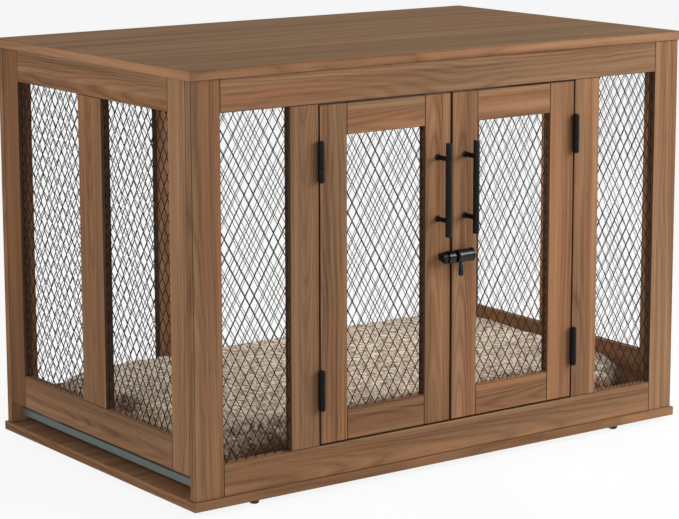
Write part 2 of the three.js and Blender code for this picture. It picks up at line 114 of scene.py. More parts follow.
class Tree:
    def __init__(self, owner):
        owner.use_nodes = True
        self.tree = owner.node_tree
        self.tree.nodes.clear()

    def node(self, kind, settings=None, inputs=None):
        made = self.tree.nodes.new(kind)
        for key, value in (settings or {}).items():
            if key == "stops":
                while len(made.color_ramp.elements) < len(value):
                    made.color_ramp.elements.new(1)
                for element, (at, level) in zip(made.color_ramp.elements, value):
                    element.position = at
                    element.color = (level, level, level, 1)
            else:
                setattr(made, key, value)
        for key, value in (inputs or {}).items():
            if isinstance(value, Wire):
                self.tree.links.new(value.socket, made.inputs[key])
            else:
                made.inputs[key].default_value = value
        return [Wire(self, out) for out in made.outputs]


class Finish(Tree):
    def __init__(self, name):
        self.material = bpy.data.materials.new(name)
        super().__init__(self.material)
        coordinates = self.node("ShaderNodeTexCoord")
        self.normal, self.place = coordinates[1], coordinates[3]
        self.x, self.y, self.z = self.node("ShaderNodeSeparateXYZ", {}, {0: self.place})

    # noise stretched along the axes: scale is features per metre along X, Y and Z
    def noise(self, scale, shift=(0, 0, 0), detail=2.0, roughness=0.5):
        settings = {"operation": "MULTIPLY_ADD"}
        spot = self.node("ShaderNodeVectorMath", settings, {0: self.place, 1: scale, 2: shift})[0]
        inputs = {"Vector": spot, "Scale": 1.0, "Detail": detail, "Roughness": roughness}
        return self.node("ShaderNodeTexNoise", {}, inputs)[0]

    def mix(self, low, high, share):
        settings = {"data_type": "RGBA", "clamp_factor": True}
        return self.node("ShaderNodeMix", settings, {0: share, 6: low, 7: high})[2]

    def bump(self, height, distance):
        inputs = {"Height": height, "Distance": distance, "Strength": 1.0}
        return self.node("ShaderNodeBump", {}, inputs)[0]

    def surface(self, **inputs):
        named = {key.replace("_", " "): value for key, value in inputs.items()}
        shader = self.node("ShaderNodeBsdfPrincipled", {}, named)[0]
        self.node("ShaderNodeOutputMaterial", {}, {0: shader})
        return self.material


# colour as it shows on a screen, 0 to 255, made linear
def tint(red, green, blue):
    def linear(value):
        share = value / 255
        return share / 12.92 if share <= 0.04045 else ((share + 0.055) / 1.055) ** 2.4

    return (linear(red), linear(green), linear(blue), 1)


# ---- walnut veneer
walnut = {
    "warm": tint(169, 120, 84),
    "olive": tint(148, 114, 84),
    "pale": tint(188, 149, 113),
    "golden": tint(146, 116, 66),
    "line": tint(90, 58, 39),
    "paintedShade": tint(62, 45, 34),  # painted shade on the openings' edges and on the frames' broken edges
    "ringsPerMetre": 112,  # growth lines across a straight grained board
    "flameAlong": 17,  # growth lines met along the middle of a flame, per metre
    "flameAcross": 9000,  # how fast a flame's lines crowd towards its sides, per square metre
    "waver": 3.4,  # lines that the wandering grain is pushed aside
    "lineDepth": 0.44,
    "bandDepth": 0.32,
    "streakDepth": 0.2,
    "poreDepth": 0.3,
    "roughness": 0.58,
    "specular": 0.05,
    "poreBump": 0.00012,
    # how dark a growth line is from its start to the next one's, dark late wood last
    "lateWood": [(0.0, 0.85), (0.2, 0.35), (0.55, 0.0), (0.85, 0.5), (1.0, 0.85)],
    # noise layers: features per metre along, across and into the board, octaves, place in the noise
    "wander": (2.6, 9, 9, 2.5, 2.0),
    "fading": (1.6, 26, 26, 1.0, 5.0),
    "bands": (1.3, 48, 48, 2.0, 21.0),
    "streak": (3.0, 230, 120, 3.0, 9.0),
    "pores": (26, 1000, 1000, 2.0, 13.0),
    "tone": (1.1, 17, 17, 2.0, 17.0),
    "light": (0.9, 70, 70, 2.0, 25.0),
    "facing": (0.6, 0.8),  # how squarely a face looks one way before it counts as facing it
    "flat": (0.8, 0.95),  # the same for a face that isn't a broken edge
    # share of painted shade on the frames' broken edges
    "edgeShade": 0.75,
}
axes = {"x": 0, "y": 1, "z": 2}


# Grain of one board. With a along it and b across it, the growth lines are where
# flame * (flameAlong * a + flameAcross * b * b) + ringsPerMetre * b + waver * noise is whole.
def grain(finish, along, across, number, middle, flame):
    def layer(key):
        far, near, deep, detail, turn = walnut[key]
        scale = [deep, deep, deep]
        scale[axes[along]] = far
        scale[axes[across]] = near
        shift = (turn + 3.7 * number, 1.3 * turn + 5.1 * number, 0.7 * turn + 7.3 * number)
        return finish.noise(tuple(scale), shift, detail)

    places = (finish.x, finish.y, finish.z)
    a = places[axes[along]] + middle[0]
    b = places[axes[across]] - middle[1]
    wander = layer("wander") - 0.5
    straight = walnut["ringsPerMetre"] * (1 - 0.6 * abs(flame))
    lines = wander * (2 * walnut["waver"]) + b * straight
    if flame:
        arch = b * b * (walnut["flameAcross"] * abs(flame)) + a * (walnut["flameAlong"] * flame)
        lines = lines + arch
    fraction = lines.math("FRACT")
    late = finish.node("ShaderNodeValToRGB", {"stops": walnut["lateWood"]}, {0: fraction})[0]
    fading = layer("fading").within(0.2, 0.62)
    bands = layer("bands").within(0.4, 0.68)
    streak = layer("streak").within(0.35, 0.72)
    pores = layer("pores").within(0.56, 0.74)
    tone = layer("tone").within(0.34, 0.66)
    light = layer("light").within(0.42, 0.72)
    colour = finish.mix(walnut["olive"], walnut["warm"], tone)
    colour = finish.mix(colour, walnut["pale"], light * 0.5)
    dark = late * (fading * walnut["lineDepth"]) + bands * walnut["bandDepth"]
    dark = dark + streak * walnut["streakDepth"] + pores * walnut["poreDepth"]
    colour = finish.mix(colour, walnut["line"], dark)
    return colour, pores, streak


# Finish of one board. Its number sets it apart from the others, and middle is where its grain is
# centred along and across it. Faces with painted shade look across the board, towards + or - or both
# ways.
def makeWalnut(name, number, middle):
    along, across, flame, shadedSide = boards[name]
    finish = Finish("walnut_" + name)
    colour, pores, streak = grain(finish, along, across, number, middle, flame)
    facing = finish.node("ShaderNodeSeparateXYZ", {}, {0: finish.normal})
    if name in leaning:
        leanTo, share, axis = leaning[name]
        onFace = facing[axes[axis]].math("ABSOLUTE").within(*walnut["facing"])
        colour = finish.mix(colour, walnut[leanTo], onFace * share)
    if name in ("top_board", "base_board"):  # the band glued round a board's ends runs along them
        onEnd = facing[0].math("ABSOLUTE").within(*walnut["facing"])
        band, bandPores, _ = grain(finish, "y", "z", number + 0.5, (0, 0), 0.0)
        colour = finish.mix(colour, band, onEnd)
        pores = pores * (1 - onEnd) + bandPores * onEnd
    else:  # the broken edges of the frames' boards get painted shade, so that their joints show dark
        steepest = facing[0].math("ABSOLUTE")
        for other in facing[1:]:
            steepest = steepest.math("MAXIMUM", other.math("ABSOLUTE"))
        onFace = steepest.within(*walnut["flat"])
        colour = finish.mix(colour, walnut["paintedShade"], (1 - onFace) * walnut["edgeShade"])
    # painted shade on the faces of the window openings, and on the bottom rail under the doors
    if shadedSide:
        look = facing[axes[across]]
        look = {"+": look, "-": look * -1, "both": look.math("ABSOLUTE")}[shadedSide]
        revealShade = look.within(*walnut["facing"]) * (0.9 - streak * 0.3)
        if name == "front_bottom_rail":  # painted shade under the doors, none under the side windows
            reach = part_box("right_door_post")[0].x
            aside = finish.x.math("ABSOLUTE")
            revealShade = revealShade * (1 - aside.within(reach - 0.0002, reach + 0.0002))
        colour = finish.mix(colour, walnut["paintedShade"], revealShade)
    height = (pores * -1) + streak * 0.4
    return finish.surface(
        Base_Color=colour,
        Roughness=streak * 0.1 + walnut["roughness"],
        Normal=finish.bump(height, walnut["poreBump"]),
        Specular_IOR_Level=walnut["specular"],
    )


# how each board's grain runs: along, across, how strong its flame is and which way, side with painted
# shade
boards = {
    "top_board": ("x", "y", 0.0, ""),
    "base_board": ("x", "y", 0.0, ""),
    "front_left_stile": ("z", "x", 0.25, "+"),
    "front_right_stile": ("z", "x", 0.0, "-"),
    "front_top_rail": ("x", "z", 0.2, ""),
    "front_bottom_rail": ("x", "z", 0.35, "+"),
    "left_door_post": ("z", "x", -0.8, "both"),
    "right_door_post": ("z", "x", 0.2, "both"),
    "left_door_hinge_stile": ("z", "x", 0.0, "both"),
    "left_door_meeting_stile": ("z", "x", 0.5, "both"),
    "left_door_top_rail": ("x", "z", -0.6, "+"),
    "left_door_bottom_rail": ("x", "z", 0.8, "-"),
    "right_door_hinge_stile": ("z", "x", 0.0, "both"),
    "right_door_meeting_stile": ("z", "x", 0.7, "both"),
    "right_door_top_rail": ("x", "z", 0.4, "+"),
    "right_door_bottom_rail": ("x", "z", -0.7, "-"),
    "back_left_stile": ("z", "x", 0.3, "+"),
    "back_right_stile": ("z", "x", 0.0, "-"),
    "back_top_rail": ("x", "z", 0.4, ""),
    "back_bottom_rail": ("x", "z", -0.4, ""),
    "back_left_mullion": ("z", "x", 0.6, "both"),
    "back_right_mullion": ("z", "x", -0.3, "both"),
}
for side in ("left", "right"):
    boards[side + "_end_front_stile"] = ("z", "y", 0.2, "+")
    boards[side + "_end_rear_stile"] = ("z", "y", 0.0, "-")
    boards[side + "_end_mullion"] = ("z", "y", -0.6, "both")
    boards[side + "_end_top_rail"] = ("y", "z", 0.5, "")
    boards[side + "_end_bottom_rail"] = ("y", "z", -0.5, "")
# boards whose faces along one axis lean to one of walnut's colours: which one, its share, the axis
leaning = {
    "left_end_rear_stile": ("line", 0.42, "x"),
    "left_end_front_stile": ("pale", 0.1, "x"),
    "top_board": ("golden", 0.25, "z"),
}


def paintNode(name, material):
    nodes[name].data.materials.clear()
    nodes[name].data.materials.append(material)


def finishBoards():
    for number, name in enumerate(boards):
        low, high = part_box(name)
        across = axes[boards[name][1]]
        aside = 0.004 * math.sin(2.4 * number)
        middle = (0.11 * number, (low[across] + high[across]) / 2 + aside)
        paintNode(name, makeWalnut(name, number, middle))


finishBoards()
print("walnut boards:", len(boards))


# ---- metal and plastic
# painted metals: colour, colour where it is cloudy, roughness, metallic, specular
metals = {
    "meshBlack": (tint(17, 12, 9), tint(38, 30, 24), 0.62, 0.0, 0.16),
    "hingeBlack": (tint(9, 8, 8), tint(22, 20, 19), 0.42, 0.0, 0.14),
    "pullBlack": (tint(9, 9, 10), tint(20, 22, 25), 0.32, 0.0, 0.16),
    "glossBlack": (tint(5, 5, 5), tint(14, 14, 14), 0.07, 0.0, 0.3),
    "trayGrey": (tint(86, 97, 92), tint(118, 126, 120), 0.38, 0.1, 0.5),
}


# Painted metal: cloudy patches and a fine orange peel, a little rougher where it is cloudy.
def makeMetal(name):
    colour, cloudy, roughness, metallic, specular = metals[name]
    finish = Finish(name)
    cloud = finish.noise((60, 60, 60), detail=4.0).within(0.35, 0.75)
    peel = finish.noise((900, 900, 900), detail=2.0)
    return finish.surface(
        Base_Color=finish.mix(colour, cloudy, cloud * 0.35),
        Roughness=cloud * 0.12 + (peel - 0.5) * 0.1 + roughness,
        Metallic=metallic,
        Normal=finish.bump(peel, 0.00004),
        Specular_IOR_Level=specular,
    )


# moulded plastics: colour, roughness
plastics = {
    "footBlack": (tint(26, 26, 27), 0.55),
    "runnerBlack": (tint(34, 33, 32), 0.6),
}


# Moulded plastic: a fine spark texture in colour, roughness and height.
def makePlastic(name):
    colour, roughness = plastics[name]
    finish = Finish(name)
    spark = finish.noise((1400, 1400, 1400), detail=3.0)
    lighter = tuple(min(1, 1.8 * c) for c in colour[:3]) + (1,)
    return finish.surface(
        Base_Color=finish.mix(colour, lighter, spark.within(0.5, 0.8)),
        Roughness=spark * 0.2 + roughness - 0.1,
        Normal=finish.bump(spark, 0.00005),
    )


meshBlack = makeMetal("meshBlack")
hingeBlack = makeMetal("hingeBlack")
pullBlack = makeMetal("pullBlack")
glossBlack = makeMetal("glossBlack")
trayGrey = makeMetal("trayGrey")
footBlack = makePlastic("footBlack")
runnerBlack = makePlastic("runnerBlack")

paintNode("tray", trayGrey)
paintNode("front_tray_runner", runnerBlack)
paintNode("back_tray_runner", runnerBlack)


# ---- surfaces: every new piece is one or more closed grids of points
# Points are rows by columns by XYZ. Each row closes into a ring, the rows close too if closed, and
# capped shuts the first and last ring with one face each.
def grid(points, closed=False, capped=False):
    rows, columns = points.shape[:2]
    ring = np.arange(rows if closed else rows - 1)[:, None] * columns
    nextRing = (ring + columns) % (rows * columns)
    column = np.arange(columns)[None, :]
    nextColumn = (column + 1) % columns
    corners = (ring + column, ring + nextColumn, nextRing + nextColumn, nextRing + column)
    faces = np.stack(corners, -1).reshape(-1, 4).tolist()
    if capped:
        faces.append(list(range(columns))[::-1])
        faces.append(list(range((rows - 1) * columns, rows * columns)))
    return points.reshape(-1, 3), faces


# Object from a mesh, on its body and in place of one of the model's nodes.
def addObject(name, mesh, body, replaced):
    piece = bpy.data.objects.new(name, mesh)
    bpy.context.scene.collection.objects.link(piece)
    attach(piece, body)
    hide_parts(replaced)


weld = 1e-7  # points nearer than this become one
sharpAngle = 35  # edges that bend more than this many degrees look sharp


# One object from closed shells, welded where a pole or seam doubles its points, facing out.
def addPiece(name, shells, material, body, replaced):
    points, faces, start = [], [], 0
    for shellPoints, shellFaces in shells:
        points.append(shellPoints)
        faces += [[v + start for v in face] for face in shellFaces]
        start += len(shellPoints)
    mesh = bpy.data.meshes.new(name)
    mesh.from_pydata(np.concatenate(points).tolist(), [], faces)
    edit = bmesh.new()
    edit.from_mesh(mesh)
    bmesh.ops.remove_doubles(edit, verts=edit.verts, dist=weld)
    bmesh.ops.recalc_face_normals(edit, faces=edit.faces)
    edit.to_mesh(mesh)
    edit.free()
    mesh.shade_smooth()
    mesh.set_sharp_from_angle(angle=math.radians(sharpAngle))
    mesh.materials.append(material)
    addObject(name, mesh, body, replaced)


# Outline with each inner corner rounded: the corner turns into a quadratic curve whose ends lie
# a radius away from it, or half a side where that is shorter.
def rounded(outline, radius, steps=5, loop=False):
    points = [np.array(p, float) for p in outline]
    made = []
    for i, corner in enumerate(points):
        if not loop and i in (0, len(points) - 1):
            made.append(corner)
            continue
        ends = []
        for neighbour in (points[i - 1], points[(i + 1) % len(points)]):
            side = neighbour - corner
            length = np.linalg.norm(side)
            ends.append(corner + side / length * min(radius, 0.5 * length))
        for t in np.linspace(0, 1, steps):
            made.append((1 - t) ** 2 * ends[0] + 2 * t * (1 - t) * corner + t * t * ends[1])
    return np.array(made)


# Turned shell: the outline gives (radius, distance along the axis) and goes round the axis in
# equal steps, (r cos a, r sin a) across it. An outline with both ends at radius 0 closes at poles.
def turned(outline, start, axis, sides=40, loop=False):
    angle = np.linspace(0, 2 * math.pi, sides, endpoint=False)
    radius, along = outline[:, :1], outline[:, 1:]
    axis = np.array(axis, float)
    first = np.cross(axis, (0.0, 0.0, 1.0) if abs(axis[2]) < 0.5 else (1.0, 0.0, 0.0))
    first /= np.linalg.norm(first)
    second = np.cross(axis, first)
    across = radius * np.cos(angle), radius * np.sin(angle)
    points = np.array(start, float) + along[..., None] * axis
    points = points + across[0][..., None] * first + across[1][..., None] * second
    return grid(points, closed=loop)


# Points round a superellipse |u|^power + |v|^power = 1.
def superellipse(power, sides):
    angle = np.linspace(0, 2 * math.pi, sides, endpoint=False)
    return [np.sign(w) * np.abs(w) ** (2 / power) for w in (np.cos(angle), np.sin(angle))]


# Rounded bar: a superellipse across the box, carried along Y.
def pad(low, high, power=6, sides=32, edge=0.0006):
    x, z = superellipse(power, sides)
    half = [(high[0] - low[0]) / 2, (high[2] - low[2]) / 2]
    centre = [(high[0] + low[0]) / 2, (high[2] + low[2]) / 2]
    rows = []
    for inset, y in ((edge, low[1]), (0.0, low[1] + edge), (0.0, high[1])):
        rows.append(np.stack([
            centre[0] + (half[0] - inset) * x,
            np.full(sides, y),
            centre[1] + (half[1] - inset) * z,
        ], -1))
    return grid(np.array(rows), capped=True)


# ---- diamond mesh
diamond = {
    "across": 0.0173,
    "up": 0.0303,
    "bond": 0.0022,  # height of the joint between two strands
    "strand": 0.00116,  # width of one strand at a joint
    "slantExtra": 0.00036,  # added to its level width where it slants
    "overlap": 0.00003,  # added to each side of it, so that neighbours join
    "bend": 0.07,  # share of a half diamond from a joint's end to its bend's end
    "softness": 0.12,  # share of a strand's way across that is a soft curve
    "drift": 0.3,  # range of the strands' shift from a window's middle, in half diamonds
    "sheet": 0.0005,
    "tilt": 26,
    "turnedOver": ("back", "right_end"),
    "hold": 0.0052,  # how far the strands run into the grooves
}


# Strand k winds upwards between columns k and k + 1: x goes straight from one to the other in each
# half diamond, with a soft bend at each end, and stays flat for half a joint; depth does the same.
def meshWindow(left, right, bottom, top, phase, tilt):
    pitch, rise = diamond["across"] / 2, diamond["up"] / 2
    count = int(math.ceil((right - left) / pitch))
    drift = (phase[0] - 0.5) * diamond["drift"] * pitch
    first = (left + right) / 2 - count * pitch / 2 + drift
    low, high = bottom - diamond["hold"], top + diamond["hold"]
    flat = diamond["bond"] / 2 / rise
    bend = flat + diamond["bend"]
    marks = np.array([0.0, flat, bend, 0.5, 1 - bend, 1 - flat])
    start = low - phase[1] * rise
    steps = int(math.ceil((high - start) / rise)) + 1
    heights = start + rise * (np.arange(steps)[:, None] + marks[None, :]).ravel()
    inside = heights[(heights > low + 1e-4) & (heights < high - 1e-4)]
    heights = np.concatenate([[low], inside, [high]])
    turn = (heights - start) / rise
    whole = np.floor(turn)
    part = np.clip((turn - whole - flat) / (1 - 2 * flat), 0, 1)
    soft = diamond["softness"]
    step = part * part * (3 - 2 * part) * soft + part * (1 - soft)
    k = np.arange(count)[:, None]
    atLeft = (k + whole[None, :]) % 2 == 0
    share = np.where(atLeft, step[None, :], 1 - step[None, :])
    half = diamond["strand"] / 2
    x = first + pitch * k + half + (pitch - 2 * half) * share
    depth = half * math.sin(tilt) * (1 - 2 * share)
    slant = 4 * part * (1 - part)
    width = (diamond["strand"] + diamond["slantExtra"] * slant) / 2 + diamond["overlap"]
    thick = diamond["sheet"] / 2
    rings = []
    for alongWidth, alongThick in ((-1, -1), (1, -1), (1, 1), (-1, 1)):
        cornerX = x + alongWidth * width * math.cos(tilt) + alongThick * thick * math.sin(tilt)
        cornerY = depth - alongWidth * width * math.sin(tilt) + alongThick * thick * math.cos(tilt)
        rings.append(np.stack([cornerX, cornerY, np.broadcast_to(heights, x.shape)], -1))
    return np.stack(rings, 2)  # strands, heights, corners, XYZ


def span(name, axis):
    low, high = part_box(name)
    return low[axis], high[axis]


# Strands in each window of a panel that looks along facing, "x" or "y". The phase of a window's
# strands, two numbers from 0 to 1, comes from the panel's number and the window's.
def addMeshPanel(name, windows, heights, facing, body, seed):
    tilt = math.radians(-diamond["tilt"] if name in diamond["turnedOver"] else diamond["tilt"])
    plane = sum(span(name + "_mesh", axes[facing])) / 2
    points, faces, start = [], [], 0
    for n, (left, right) in enumerate(windows):
        phase = (math.sin(3.1 * seed + n) * 0.5 + 0.5, math.cos(1.7 * seed + n) * 0.5 + 0.5)
        strands = meshWindow(left, right, heights[0], heights[1], phase, tilt)
        count, rows = strands.shape[:2]
        at = start + np.arange(count * rows * 4).reshape(count, rows, 4)
        ahead = np.roll(at, -1, axis=2)
        quads = np.stack([at[:, :-1], ahead[:, :-1], ahead[:, 1:], at[:, 1:]], -1)
        faces += [quads.reshape(-1, 4), at[:, 0, ::-1], at[:, -1]]
        points.append(strands.reshape(-1, 3))
        start += count * rows * 4
    points = np.concatenate(points)
    faces = np.concatenate(faces)
    if facing == "y":
        points = points + np.array([0, plane, 0])
    else:
        points = np.stack([plane + points[:, 1], points[:, 0], points[:, 2]], -1)
        faces = faces[:, ::-1]
    mesh = bpy.data.meshes.new(f"diamond_{name}_mesh")
    mesh.from_pydata(points.tolist(), [], faces.tolist())
    mesh.materials.append(meshBlack)
    addObject(f"diamond_{name}_mesh", mesh, body, name + "_mesh")
    return len(faces)


# uprights of each panel, in order along X or Y; the gaps between them are its windows
uprights = {
    "front_left": ("front_left_stile", "left_door_post"),
    "front_right": ("right_door_post", "front_right_stile"),
    "left_door": ("left_door_hinge_stile", "left_door_meeting_stile"),
    "right_door": ("right_door_meeting_stile", "right_door_hinge_stile"),
    "left_end": ("left_end_front_stile", "left_end_mullion", "left_end_rear_stile"),
    "right_end": ("right_end_front_stile", "right_end_mullion", "right_end_rear_stile"),
    "back": ("back_left_stile", "back_left_mullion", "back_right_mullion", "back_right_stile"),
}


# The gap between two boards along an axis.
def between(first, second, axis):
    return span(first, axis)[1], span(second, axis)[0]


def makeMeshPanels():
    total = 0
    for seed, (name, posts) in enumerate(uprights.items(), 1):
        facing, across = ("x", 1) if name.endswith("_end") else ("y", 0)
        windows = [between(*pair, across) for pair in zip(posts, posts[1:])]
        rails = "front" if name.startswith("front") else name
        heights = between(rails + "_bottom_rail", rails + "_top_rail", 2)
        body = name if name.endswith("_door") else "crate"
        total += addMeshPanel(name, windows, heights, facing, body, seed)
    return total


print("diamond mesh:", makeMeshPanels(), "faces")


# ---- bar pulls: a round bar on two posts, each with a small foot
pull = {
    "barRadius": 0.005,
    "barEdge": 0.0009,
    "postRadius": 0.0038,
    "postEdge": 0.0006,
    "postSides": 28,
    "postSpread": 0.096,  # between the middles of the two posts
    "footRadius": 0.0052,
    "footHeight": 0.0018,
    "footSlope": 0.0008,  # height of the slope from a foot to its post
}


def makePull(side):
    low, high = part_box(side + "_door_pull")
    x, z = (low.x + high.x) / 2, (low.z + high.z) / 2
    axis = low.y + pull["barRadius"]
    length = high.z - low.z
    r = pull["barRadius"]
    bar = rounded([(0, 0), (r, 0), (r, length), (0, length)], pull["barEdge"])
    shells = [turned(bar, (x, axis, low.z), (0, 0, 1))]
    reach = high.y - axis
    post = rounded([
        (0, 0),
        (pull["footRadius"], 0),
        (pull["footRadius"], pull["footHeight"]),
        (pull["postRadius"], pull["footHeight"] + pull["footSlope"]),
        (pull["postRadius"], reach),
        (0, reach),
    ], pull["postEdge"])
    for lift in (-0.5, 0.5):
        root = (x, high.y, z + lift * pull["postSpread"])
        shells.append(turned(post, root, (0, -1, 0), sides=pull["postSides"]))
    addPiece(f"{side}_bar_pull", shells, pullBlack, side + "_door", side + "_door_pull")


# ---- hinges: turned knuckles with a pin head at each end, and the leaf plates in the gap
hinge = {
    "knuckleRadius": 0.005,
    "bore": 0.0023,  # radius
    "edge": 0.0007,
    "gap": 0.0004,  # between two knuckles
    "pinRadius": 0.002,
    "pinEdge": 0.0003,
    "pinSides": 28,
    "headRadius": 0.0034,
    "headHeight": 0.0012,
    "plate": (0.0003, 0.001),  # a leaf's two faces, measured sideways from the pin's axis
    "plateSetIn": 0.0007,  # how far a leaf starts inside its knuckles
}


def boxShell(low, high):
    corners = [(low[0], low[1]), (high[0], low[1]), (high[0], high[1]), (low[0], high[1])]
    rings = [[(x, y, z) for x, y in corners] for z in (low[2], high[2])]
    return grid(np.array(rings, float), capped=True)


def knuckle(x, y, low, high):
    outer, inner = hinge["knuckleRadius"], hinge["bore"]
    ring = [(inner, 0), (outer, 0), (outer, high - low), (inner, high - low)]
    return turned(rounded(ring, hinge["edge"], loop=True), (x, y, low), (0, 0, 1), loop=True)


def makeHinge(side, level):
    stem = f"{side}_{level}_hinge_"
    low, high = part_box(stem + "frame_leaf")
    x = sum(span(stem + "door_leaf", 0)) / 2
    y = low.y + hinge["knuckleRadius"]
    third = (high.z - low.z) / 3
    lower, upper = low.z + third, high.z - third
    gap, head = hinge["gap"], hinge["headHeight"]
    pin = rounded([
        (0, 0),
        (hinge["headRadius"], 0),
        (hinge["headRadius"], head),
        (hinge["pinRadius"], head),
        (hinge["pinRadius"], 3 * third - head),
        (hinge["headRadius"], 3 * third - head),
        (hinge["headRadius"], 3 * third),
        (0, 3 * third),
    ], hinge["pinEdge"])
    front = y + hinge["knuckleRadius"] - hinge["plateSetIn"]

    def plate(way):  # to one side of the pin, from the knuckles back into the door gap
        left, right = sorted(x + way * face for face in hinge["plate"])
        return boxShell((left, front, low.z + head), (right, high.y, high.z - head))

    outward = 1 if side == "right" else -1
    frameShells = [
        knuckle(x, y, low.z + head, lower),
        knuckle(x, y, upper, high.z - head),
        turned(pin, (x, y, low.z), (0, 0, 1), sides=hinge["pinSides"]),
        plate(outward),
    ]
    doorShells = [knuckle(x, y, lower + gap, upper - gap), plate(-outward)]
    addPiece(stem + "frame", frameShells, hingeBlack, "crate", stem + "frame_leaf")
    addPiece(stem + "door", doorShells, hingeBlack, side + "_door", stem + "door_leaf")


for side in ("left", "right"):
    makePull(side)
    for level in ("upper", "lower"):
        makeHinge(side, level)
print("pulls and hinges made")


# ---- barrel bolt
latch = {
    "bore": 0.0043,  # radius
    "barrelRadius": 0.0098,
    "barrelRings": 24,
    "rimRadius": 0.0102,
    "rimLength": 0.006,
    "rimEdge": 0.001,
    "rimSlope": 0.0012,  # length of the slope from the rim down to the barrel
    "capRadius": 0.0106,
    "capSlope": 0.0008,
    "capNose": (0.0035, 0.0022),  # how far the closed end draws in, and over what length
    "edge": 0.0009,
    "slotHalf": 0.0025,
    "endWall": 0.0001,  # from the end of the bored tube to the end of the barrel
    "plugSlope": (0.0012, 0.0006),  # the same of the plug's edge
    "plugHeight": 0.0009,
    "plugEdge": 0.0004,
    "plugSetIn": 0.0003,
    "saddleHalf": 0.006,
    "saddleInset": 0.002,
    "barrelSaddle": 0.004,  # from the axis back to the block under the barrel
    "keeperSaddle": 0.0045,
    "boltRadius": 0.004,
    "boltLength": 0.026,
    "boltEdge": 0.0014,
    "leverFromNose": 0.012,
    "leverNeck": 0.0022,
    "leverTop": 0.0121,
    "leverKnob": 0.0042,
    "leverEdge": 0.0022,
    "leverSides": 32,
    "knobTop": ((0.72, 0.0018), (0.8, 0.006)),  # share of its radius, distance below its top
    "knobTip": ((1.0, 0.0052), (1.0, 0.0016)),  # share of its radius, distance above its tip
    "domeRadius": 0.0088,
    "domeLength": 0.007,
    "domeBulge": 0.0046,
    "domeStart": 0.12,  # radians from its middle to its first ring
    "domeRings": 9,
    "domeEdge": 0.0006,
    "keeperGroove": 0.002,
    "keeperEdge": 0.0008,
    "keeperRings": 16,
    "sleeveSetIn": 0.0005,  # how far the keeper's sleeve starts inside its dome
}


# Tube with a bore and a slot in its underside: an outer radius at each place along the axis, cells
# inside the slot left out, and a wall wherever a cell has no neighbour. The slot is given as where
# it ends along the axis, and half its width.
def slottedTube(outer, along, start, slot=(0.0, 0.0)):
    sides = 48
    angle = np.linspace(0, 2 * math.pi, sides, endpoint=False) - math.pi / sides
    rows = len(along)

    def skin(radius):  # X runs along the tube, and angle 0 is straight down
        y, z = radius[:, None] * np.sin(angle), -radius[:, None] * np.cos(angle)
        x = np.broadcast_to(along[:, None], y.shape)
        return np.stack([start[0] + x, start[1] + y, start[2] + z], -1)

    inner = np.full(rows, latch["bore"])
    points = np.concatenate([skin(outer).reshape(-1, 3), skin(inner).reshape(-1, 3)])
    inSlot = np.abs(np.sin(angle + math.pi / sides)) * outer.max() < slot[1]
    inSlot &= np.cos(angle + math.pi / sides) > 0
    kept = ~(((along[:-1] + along[1:]) / 2 < slot[0])[:, None] & inSlot[None, :])
    base = np.arange(rows * sides).reshape(rows, sides)
    ahead = np.roll(base, -1, axis=1)
    a, b, c, d = base[:-1], ahead[:-1], ahead[1:], base[1:]
    deep = rows * sides
    faces = [np.stack([a, b, c, d], -1)[kept], np.stack([d, c, b, a], -1)[kept] + deep]
    before = np.vstack([np.zeros((1, sides), bool), kept[:-1]])
    after = np.vstack([kept[1:], np.zeros((1, sides), bool)])
    sideA, sideB = np.roll(kept, 1, axis=1), np.roll(kept, -1, axis=1)
    for missing, p, q in ((~before, a, b), (~after, c, d), (~sideA, d, a), (~sideB, b, c)):
        wall = kept & missing
        faces.append(np.stack([p, p + deep, q + deep, q], -1)[wall])
    used = np.concatenate([f.reshape(-1, 4) for f in faces])
    return points, used.tolist()


def profileAt(outline, along):
    return np.interp(along, outline[:, 1], outline[:, 0])


# Where the latch's axis runs, back from the viewer and up, and the face of the doors behind it.
def latchAxis():
    low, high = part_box("latch_barrel")
    return low.y + latch["capRadius"], (low.z + high.z) / 2, high.y


# Block between a turned part and its door.
def saddle(low, high, depth):
    axisY, axisZ, face = latchAxis()
    inset, half = latch["saddleInset"], latch["saddleHalf"]
    return pad((low.x + inset, axisY + depth, axisZ - half), (high.x - inset, face, axisZ + half))


# Barrel: a rim at its open end, a slot underneath for the lever, and a cap with a plug at its end.
def makeBarrel():
    low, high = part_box("latch_barrel")
    axisY, axisZ, _ = latchAxis()
    length = high.x - low.x
    barrel, rim, cap = latch["barrelRadius"], latch["rimRadius"], latch["capRadius"]
    rimEnd, capStart = latch["rimLength"], length - latch["rimLength"]
    noseIn, noseBack = latch["capNose"]
    outline = rounded([
        (rim - latch["rimEdge"], 0),
        (rim, latch["rimEdge"]),
        (rim, rimEnd - latch["rimSlope"]),
        (barrel, rimEnd),
        (barrel, capStart),
        (cap, capStart + latch["capSlope"]),
        (cap, length - noseBack),
        (cap - noseIn, length),
        (0, length),
    ], latch["edge"], steps=4)
    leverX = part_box("latch_bolt")[0].x + latch["leverFromNose"] - low.x
    slotEnd = leverX + latch["slotHalf"]
    rings = np.linspace(0, length, latch["barrelRings"])
    along = np.unique(np.concatenate([outline[:, 1], [slotEnd], rings]))
    outer = profileAt(outline[:-1], along)
    keep = along <= length - latch["endWall"]
    along, outer = along[keep], outer[keep]
    tube = slottedTube(outer, along, (low.x, axisY, axisZ), (slotEnd, latch["slotHalf"]))
    plugIn, plugBack = latch["plugSlope"]
    plug = [(0, 0), (outer[-1], 0), (outer[-1] - plugIn, plugBack), (0, latch["plugHeight"])]
    plugStart = (low.x + along[-1] - latch["plugSetIn"], axisY, axisZ)
    end = turned(rounded(plug, latch["plugEdge"]), plugStart, (1, 0, 0))
    shells = [tube, end, saddle(low, high, latch["barrelSaddle"])]
    addPiece("bolt_barrel", shells, glossBlack, "right_door", "latch_barrel")


